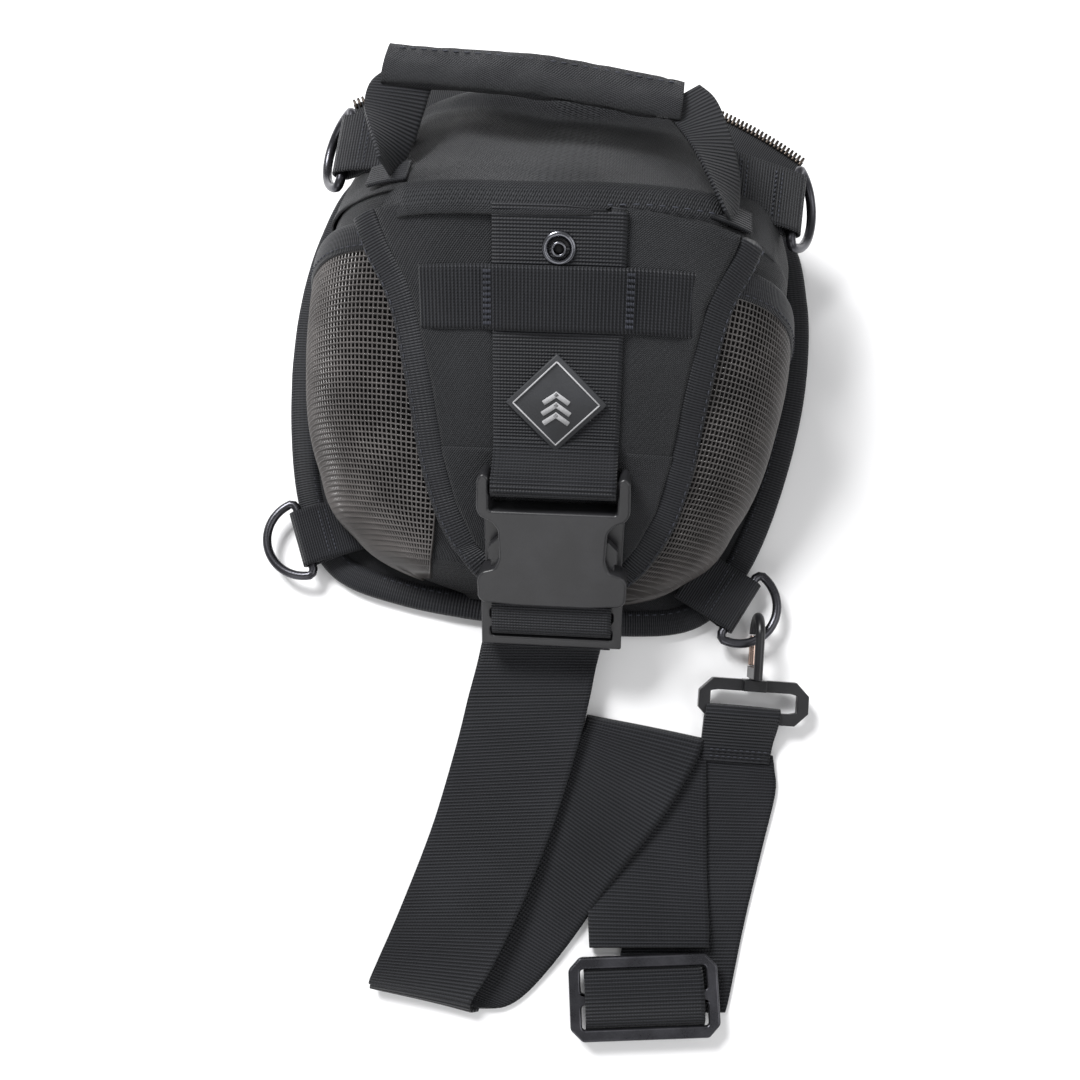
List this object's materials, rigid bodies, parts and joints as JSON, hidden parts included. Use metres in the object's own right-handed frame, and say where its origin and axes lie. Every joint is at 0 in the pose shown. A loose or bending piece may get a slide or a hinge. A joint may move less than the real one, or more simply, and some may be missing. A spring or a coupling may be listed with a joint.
{
  "type": "gas mask carry pouch",
  "caption": "Soft shield-shaped mask pouch with bulging front, lift-up flap, side-release buckle, carry handle, D-rings, mesh pockets and folded sling strap.",
  "frame": {"origin": "middle of the back panel, on the face that the pouch lies on", "axes": "+Z out of the front of the pouch, +Y towards the carry handle, +X to the right seen from the front"},
  "size_m": [0.2565, 0.4043, 0.1243],
  "materials": {
    "pouch_fabric": "woven nylon",
    "webbing": "ribbed webbing",
    "coated_mesh": "coated mesh",
    "zip_tape": "woven tape with coil teeth",
    "zip_metal": "black lacquer",
    "binding_tape": "ribbed binding tape",
    "patch_rubber": "matt",
    "snap_nickel": "nickel plated",
    "buckle_plastic": "satin",
    "hook_black": "satin black",
    "gate_metal": "worn plating",
    "gunmetal": "satin gunmetal",
    "stiffener_sheet": "sheet"
  },
  "bodies": {
    "bag": {"back_panel": "pouch_fabric", "back_stiffener": "stiffener_sheet", "edge_binding": "binding_tape", "front_panel": "pouch_fabric", "side_panel_left": "pouch_fabric", "side_panel_right": "pouch_fabric", "top_panel": "pouch_fabric", "mesh_pocket_left": "coated_mesh", "mesh_pocket_right": "coated_mesh", "zip_row_back": "zip_tape", "zip_row_front": "zip_tape", "handle_anchor_left": "webbing", "handle_anchor_right": "webbing", "dring_loop_upper_left": "webbing", "dring_loop_upper_right": "webbing", "dring_loop_lower_left": "webbing", "dring_loop_lower_right": "webbing", "hook_ring": "hook_black", "strap_hem": "webbing", "strap_run": "webbing", "strap_single_run": "webbing"},
    "flap": {"flap_panel": "pouch_fabric", "flap_tip_panel": "pouch_fabric", "flap_binding": "binding_tape", "center_webbing": "webbing", "molle_webbing": "webbing", "rubber_patch": "patch_rubber", "snap_flange": "snap_nickel", "snap_post": "snap_nickel", "buckle_socket": "buckle_plastic"},
    "plug": {"buckle_plug": "buckle_plastic", "strap_loop": "webbing", "strap_tail": "webbing"},
    "prong_left": {"prong_left": "buckle_plastic"},
    "prong_right": {"prong_right": "buckle_plastic"},
    "handle": {"handle_webbing": "webbing", "handle_sleeve": "pouch_fabric"},
    "zip_slider": {"zip_slider": "zip_metal"},
    "zip_pull": {"zip_pull": "zip_metal"},
    "hook": {"hook_body": "hook_black"},
    "gate": {"hook_gate": "gate_metal"},
    "glide": {"strap_glide": "gunmetal", "strap_glide_loop": "webbing"},
    "dring_upper_left": {"dring_upper_left": "gunmetal"},
    "dring_upper_right": {"dring_upper_right": "gunmetal"},
    "dring_lower_left": {"dring_lower_left": "gunmetal"},
    "dring_lower_right": {"dring_lower_right": "gunmetal"}
  },
  "joints": [
    {"name": "flap_lift", "type": "hinge", "parent": "bag", "child": "flap", "pos_m": [0, 0.034, 0.119], "axis": [-1, 0, 0], "range_deg": [0, 30], "deforming": ["strap_tail"]},
    {"name": "buckle_release", "type": "slide", "parent": "flap", "child": "plug", "axis": [0.1045, -0.8204, -0.5622], "range_m": [0, 0.026], "deforming": ["strap_tail"]},
    {"name": "prong_left_press", "type": "hinge", "parent": "plug", "child": "prong_left", "pos_m": [-0.006, -0.10449, 0.03876], "axis": [0, 0.5653, -0.8249], "range_deg": [0, 18], "stiffness_Nm_per_rad": 0.02},
    {"name": "prong_right_press", "type": "hinge", "parent": "plug", "child": "prong_right", "pos_m": [0.03905, -0.10059, 0.04144], "axis": [0, -0.5653, 0.8249], "range_deg": [0, 18], "stiffness_Nm_per_rad": 0.02},
    {"name": "handle_swing", "type": "hinge", "parent": "bag", "child": "handle", "pos_m": [-0.011, 0.044, 0.119], "axis": [1, 0, 0], "range_deg": [-10, 55]},
    {"name": "zip_travel", "type": "hinge", "parent": "bag", "child": "zip_slider", "pos_m": [0, -0.069, 0.058], "axis": [0, 0, -1], "range_deg": [0, 52]},
    {"name": "pull_swing", "type": "hinge", "parent": "zip_slider", "child": "zip_pull", "pos_m": [-0.08704, 0.10673, 0.058], "axis": [0.8961, 0.4439, 0], "range_deg": [-5, 100]},
    {"name": "hook_swivel", "type": "hinge", "parent": "bag", "child": "hook", "pos_m": [0.108, -0.1045, 0.0122], "axis": [-0.0691, 0.9879, 0.1392], "range_deg": [-4, 4]},
    {"name": "gate_press", "type": "hinge", "parent": "hook", "child": "gate", "pos_m": [0.10889, -0.11722, 0.00233], "axis": [0.9976, 0.0698, 0], "range_deg": [0, 4], "stiffness_Nm_per_rad": 0.02},
    {"name": "glide_slide", "type": "slide", "parent": "bag", "child": "glide", "axis": [-0.1736, 0.9848, 0], "range_m": [0, 0.018]},
    {"name": "dring_upper_right_swing", "type": "hinge", "parent": "bag", "child": "dring_upper_right", "pos_m": [0.093, 0.065, 0.077], "axis": [0, -1, 0], "range_deg": [-8, 100]},
    {"name": "dring_upper_left_swing", "type": "hinge", "parent": "bag", "child": "dring_upper_left", "pos_m": [-0.093, 0.065, 0.077], "axis": [0, 1, 0], "range_deg": [-8, 100]},
    {"name": "dring_lower_left_swing", "type": "hinge", "parent": "bag", "child": "dring_lower_left", "pos_m": [-0.097, -0.089, 0.009], "axis": [-0.4226, 0.9063, 0], "range_deg": [-12, 100]},
    {"name": "dring_lower_right_swing", "type": "hinge", "parent": "bag", "child": "dring_lower_right", "pos_m": [0.099, -0.092, 0.009], "axis": [-0.4226, -0.9063, 0], "range_deg": [-4, 4]}
  ],
  "couplings": [
    {"joint": "prong_left_press", "follows": "buckle_release", "rad_per_m": 12},
    {"joint": "prong_right_press", "follows": "buckle_release", "rad_per_m": 12}
  ]
}
